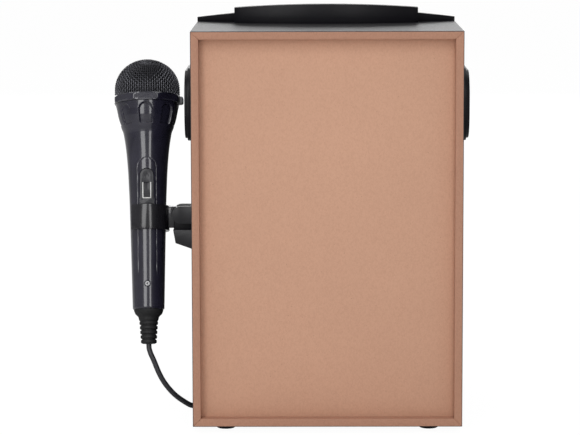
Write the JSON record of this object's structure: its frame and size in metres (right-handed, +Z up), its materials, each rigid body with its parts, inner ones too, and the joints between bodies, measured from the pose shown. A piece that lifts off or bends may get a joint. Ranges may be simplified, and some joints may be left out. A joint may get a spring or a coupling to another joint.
{
  "type": "karaoke machine with disc tray",
  "caption": "Upright karaoke speaker box with a sliding disc tray, sloped display console, ringed front grille, knobs and buttons, and a corded microphone in a side clip.",
  "frame": {"origin": "centre of the box that holds the whole part without its free cord, on the floor", "axes": "+Z up, -Y towards the user at the front with the disc tray, +X towards the microphone's side"},
  "size_m": [0.2925, 0.3195, 0.338],
  "materials": {
    "vinyl_board": "fibre board under a dark satin vinyl wrap",
    "bare_mdf": "bare fibre board, matte",
    "black_plastic": "fine grained black plastic",
    "window": "smoked and polished",
    "display": "display module in a metal bezel",
    "ring_clear": "milky translucent",
    "grille_black": "satin black plastic",
    "rubber": "soft black",
    "cone_paper": "pressed paper",
    "magnet_steel": "zinc plated",
    "screw_steel": "nickel plated",
    "white_plastic": "natural acetal",
    "sled_plastic": "moulded black",
    "circuit_board": "green solder mask",
    "knob_black": "fluted satin black",
    "button_silver": "satin silver",
    "button_red": "polished red",
    "port_metal": "dark grey with metal shells",
    "mic_gloss": "high gloss blue-black",
    "mic_switch": "ribbed black",
    "mic_mesh": "dark woven wire",
    "capsule": "satin"
  },
  "bodies": {
    "cabinet": {"top_board": "vinyl_board", "base_board": "vinyl_board", "left_board": "vinyl_board", "right_board": "vinyl_board", "rear_panel": "bare_mdf", "shelf_board": "bare_mdf", "front_fascia": "black_plastic", "top_console": "black_plastic", "display_window": "window", "display_module": "display", "light_ring": "ring_clear", "speaker_grille": "grille_black", "speaker_basket": "black_plastic", "speaker_surround": "rubber", "speaker_cone": "cone_paper", "speaker_magnet": "magnet_steel", "speaker_screws": "screw_steel", "loader_frame": "black_plastic", "clamp_bridge": "black_plastic", "pickup_chassis": "magnet_steel", "drive_belt": "rubber", "loading_motor": "magnet_steel", "main_board": "circuit_board", "control_board": "circuit_board", "media_ports": "port_metal", "mic_sockets": "screw_steel", "side_jacks": "black_plastic", "carry_handles": "black_plastic", "feet": "rubber", "mic_holder": "black_plastic", "mic_clip": "black_plastic", "mic_cord": "rubber", "mic_cord_coil": "rubber", "mic_plug": "screw_steel"},
    "tray": {"disc_tray": "black_plastic", "tray_door": "black_plastic"},
    "drive_gear": {"drive_gear": "white_plastic"},
    "belt_wheel": {"belt_wheel": "white_plastic"},
    "motor_pulley": {"motor_pulley": "white_plastic"},
    "spindle": {"spindle_platter": "black_plastic"},
    "clamp": {"disc_clamp": "white_plastic"},
    "sled": {"pickup_sled": "sled_plastic"},
    "mic_volume_knob": {"mic_volume_knob": "knob_black"},
    "echo_knob": {"echo_knob": "knob_black"},
    "tone_knob": {"tone_knob": "knob_black"},
    "music_volume_knob": {"music_volume_knob": "knob_black"},
    "play_button": {"play_button": "button_silver"},
    "stop_button": {"stop_button": "button_silver"},
    "previous_button": {"previous_button": "button_silver"},
    "next_button": {"next_button": "button_silver"},
    "open_button": {"open_button": "button_silver"},
    "source_button": {"source_button": "button_silver"},
    "power_button": {"power_button": "button_red"},
    "microphone": {"mic_grille": "mic_mesh", "mic_capsule": "capsule", "mic_collar": "mic_gloss", "mic_body": "mic_gloss", "mic_switch_plate": "mic_gloss", "mic_strain_relief": "rubber"},
    "mic_switch": {"mic_switch": "mic_switch"}
  },
  "joints": [
    {"name": "tray_slide", "type": "slide", "parent": "cabinet", "child": "tray", "axis": [0, -1, 0], "range_m": [0, 0.128]},
    {"name": "drive_gear_spin", "type": "hinge", "parent": "cabinet", "child": "drive_gear", "pos_m": [-0.0759, -0.0795, 0.232], "axis": [0, 0, 1], "range_deg": [0, 615]},
    {"name": "belt_wheel_spin", "type": "hinge", "parent": "cabinet", "child": "belt_wheel", "pos_m": [-0.05993, -0.07369, 0.23], "axis": [0, 0, 1], "range_deg": [-1470, 0]},
    {"name": "motor_pulley_spin", "type": "hinge", "parent": "cabinet", "child": "motor_pulley", "pos_m": [-0.03393, -0.07369, 0.2284], "axis": [0, 0, 1], "range_deg": [-5230, 0]},
    {"name": "spindle_spin", "type": "hinge", "parent": "cabinet", "child": "spindle", "pos_m": [-0.0319, -0.0319, 0.235], "axis": [0, 0, 1], "continuous": true},
    {"name": "clamp_spin", "type": "hinge", "parent": "cabinet", "child": "clamp", "pos_m": [-0.0319, -0.0319, 0.248], "axis": [0, 0, 1], "continuous": true},
    {"name": "sled_slide", "type": "slide", "parent": "cabinet", "child": "sled", "axis": [0, 1, 0], "range_m": [0, 0.034]},
    {"name": "mic_volume_knob_turn", "type": "hinge", "parent": "cabinet", "child": "mic_volume_knob", "pos_m": [-0.1179, -0.1105, 0.2], "axis": [0, 1, 0], "range_deg": [-150, 150]},
    {"name": "echo_knob_turn", "type": "hinge", "parent": "cabinet", "child": "echo_knob", "pos_m": [-0.0879, -0.1105, 0.2], "axis": [0, 1, 0], "range_deg": [-150, 150]},
    {"name": "tone_knob_turn", "type": "hinge", "parent": "cabinet", "child": "tone_knob", "pos_m": [0.0241, -0.1105, 0.2], "axis": [0, 1, 0], "range_deg": [-150, 150]},
    {"name": "music_volume_knob_turn", "type": "hinge", "parent": "cabinet", "child": "music_volume_knob", "pos_m": [0.0541, -0.1105, 0.2], "axis": [0, 1, 0], "range_deg": [-150, 150]},
    {"name": "play_button_press", "type": "slide", "parent": "cabinet", "child": "play_button", "axis": [0, 1, 0], "range_m": [0, 0.0012], "stiffness_N_per_m": 500, "springref_m": -0.0008},
    {"name": "stop_button_press", "type": "slide", "parent": "cabinet", "child": "stop_button", "axis": [0, 1, 0], "range_m": [0, 0.0012], "stiffness_N_per_m": 500, "springref_m": -0.0008},
    {"name": "previous_button_press", "type": "slide", "parent": "cabinet", "child": "previous_button", "axis": [0, 1, 0], "range_m": [0, 0.0012], "stiffness_N_per_m": 500, "springref_m": -0.0008},
    {"name": "next_button_press", "type": "slide", "parent": "cabinet", "child": "next_button", "axis": [0, 1, 0], "range_m": [0, 0.0012], "stiffness_N_per_m": 500, "springref_m": -0.0008},
    {"name": "open_button_press", "type": "slide", "parent": "cabinet", "child": "open_button", "axis": [0, 1, 0], "range_m": [0, 0.0012], "stiffness_N_per_m": 500, "springref_m": -0.0008},
    {"name": "source_button_press", "type": "slide", "parent": "cabinet", "child": "source_button", "axis": [0, 1, 0], "range_m": [0, 0.0012], "stiffness_N_per_m": 500, "springref_m": -0.0008},
    {"name": "power_button_press", "type": "slide", "parent": "cabinet", "child": "power_button", "axis": [0, 1, 0], "range_m": [0, 0.0012], "stiffness_N_per_m": 500, "springref_m": -0.0008},
    {"name": "microphone_lift", "type": "slide", "parent": "cabinet", "child": "microphone", "axis": [0.0118, -0.2504, 0.9681], "range_m": [0, 0.12]},
    {"name": "mic_switch_slide", "type": "slide", "parent": "microphone", "child": "mic_switch", "axis": [0.0118, -0.2504, 0.9681], "range_m": [0, 0.005]}
  ],
  "couplings": [
    {"joint": "drive_gear_spin", "follows": "tray_slide", "rad_per_m": 83.333},
    {"joint": "belt_wheel_spin", "follows": "tray_slide", "rad_per_m": -200},
    {"joint": "motor_pulley_spin", "follows": "tray_slide", "rad_per_m": -711.48}
  ]
}
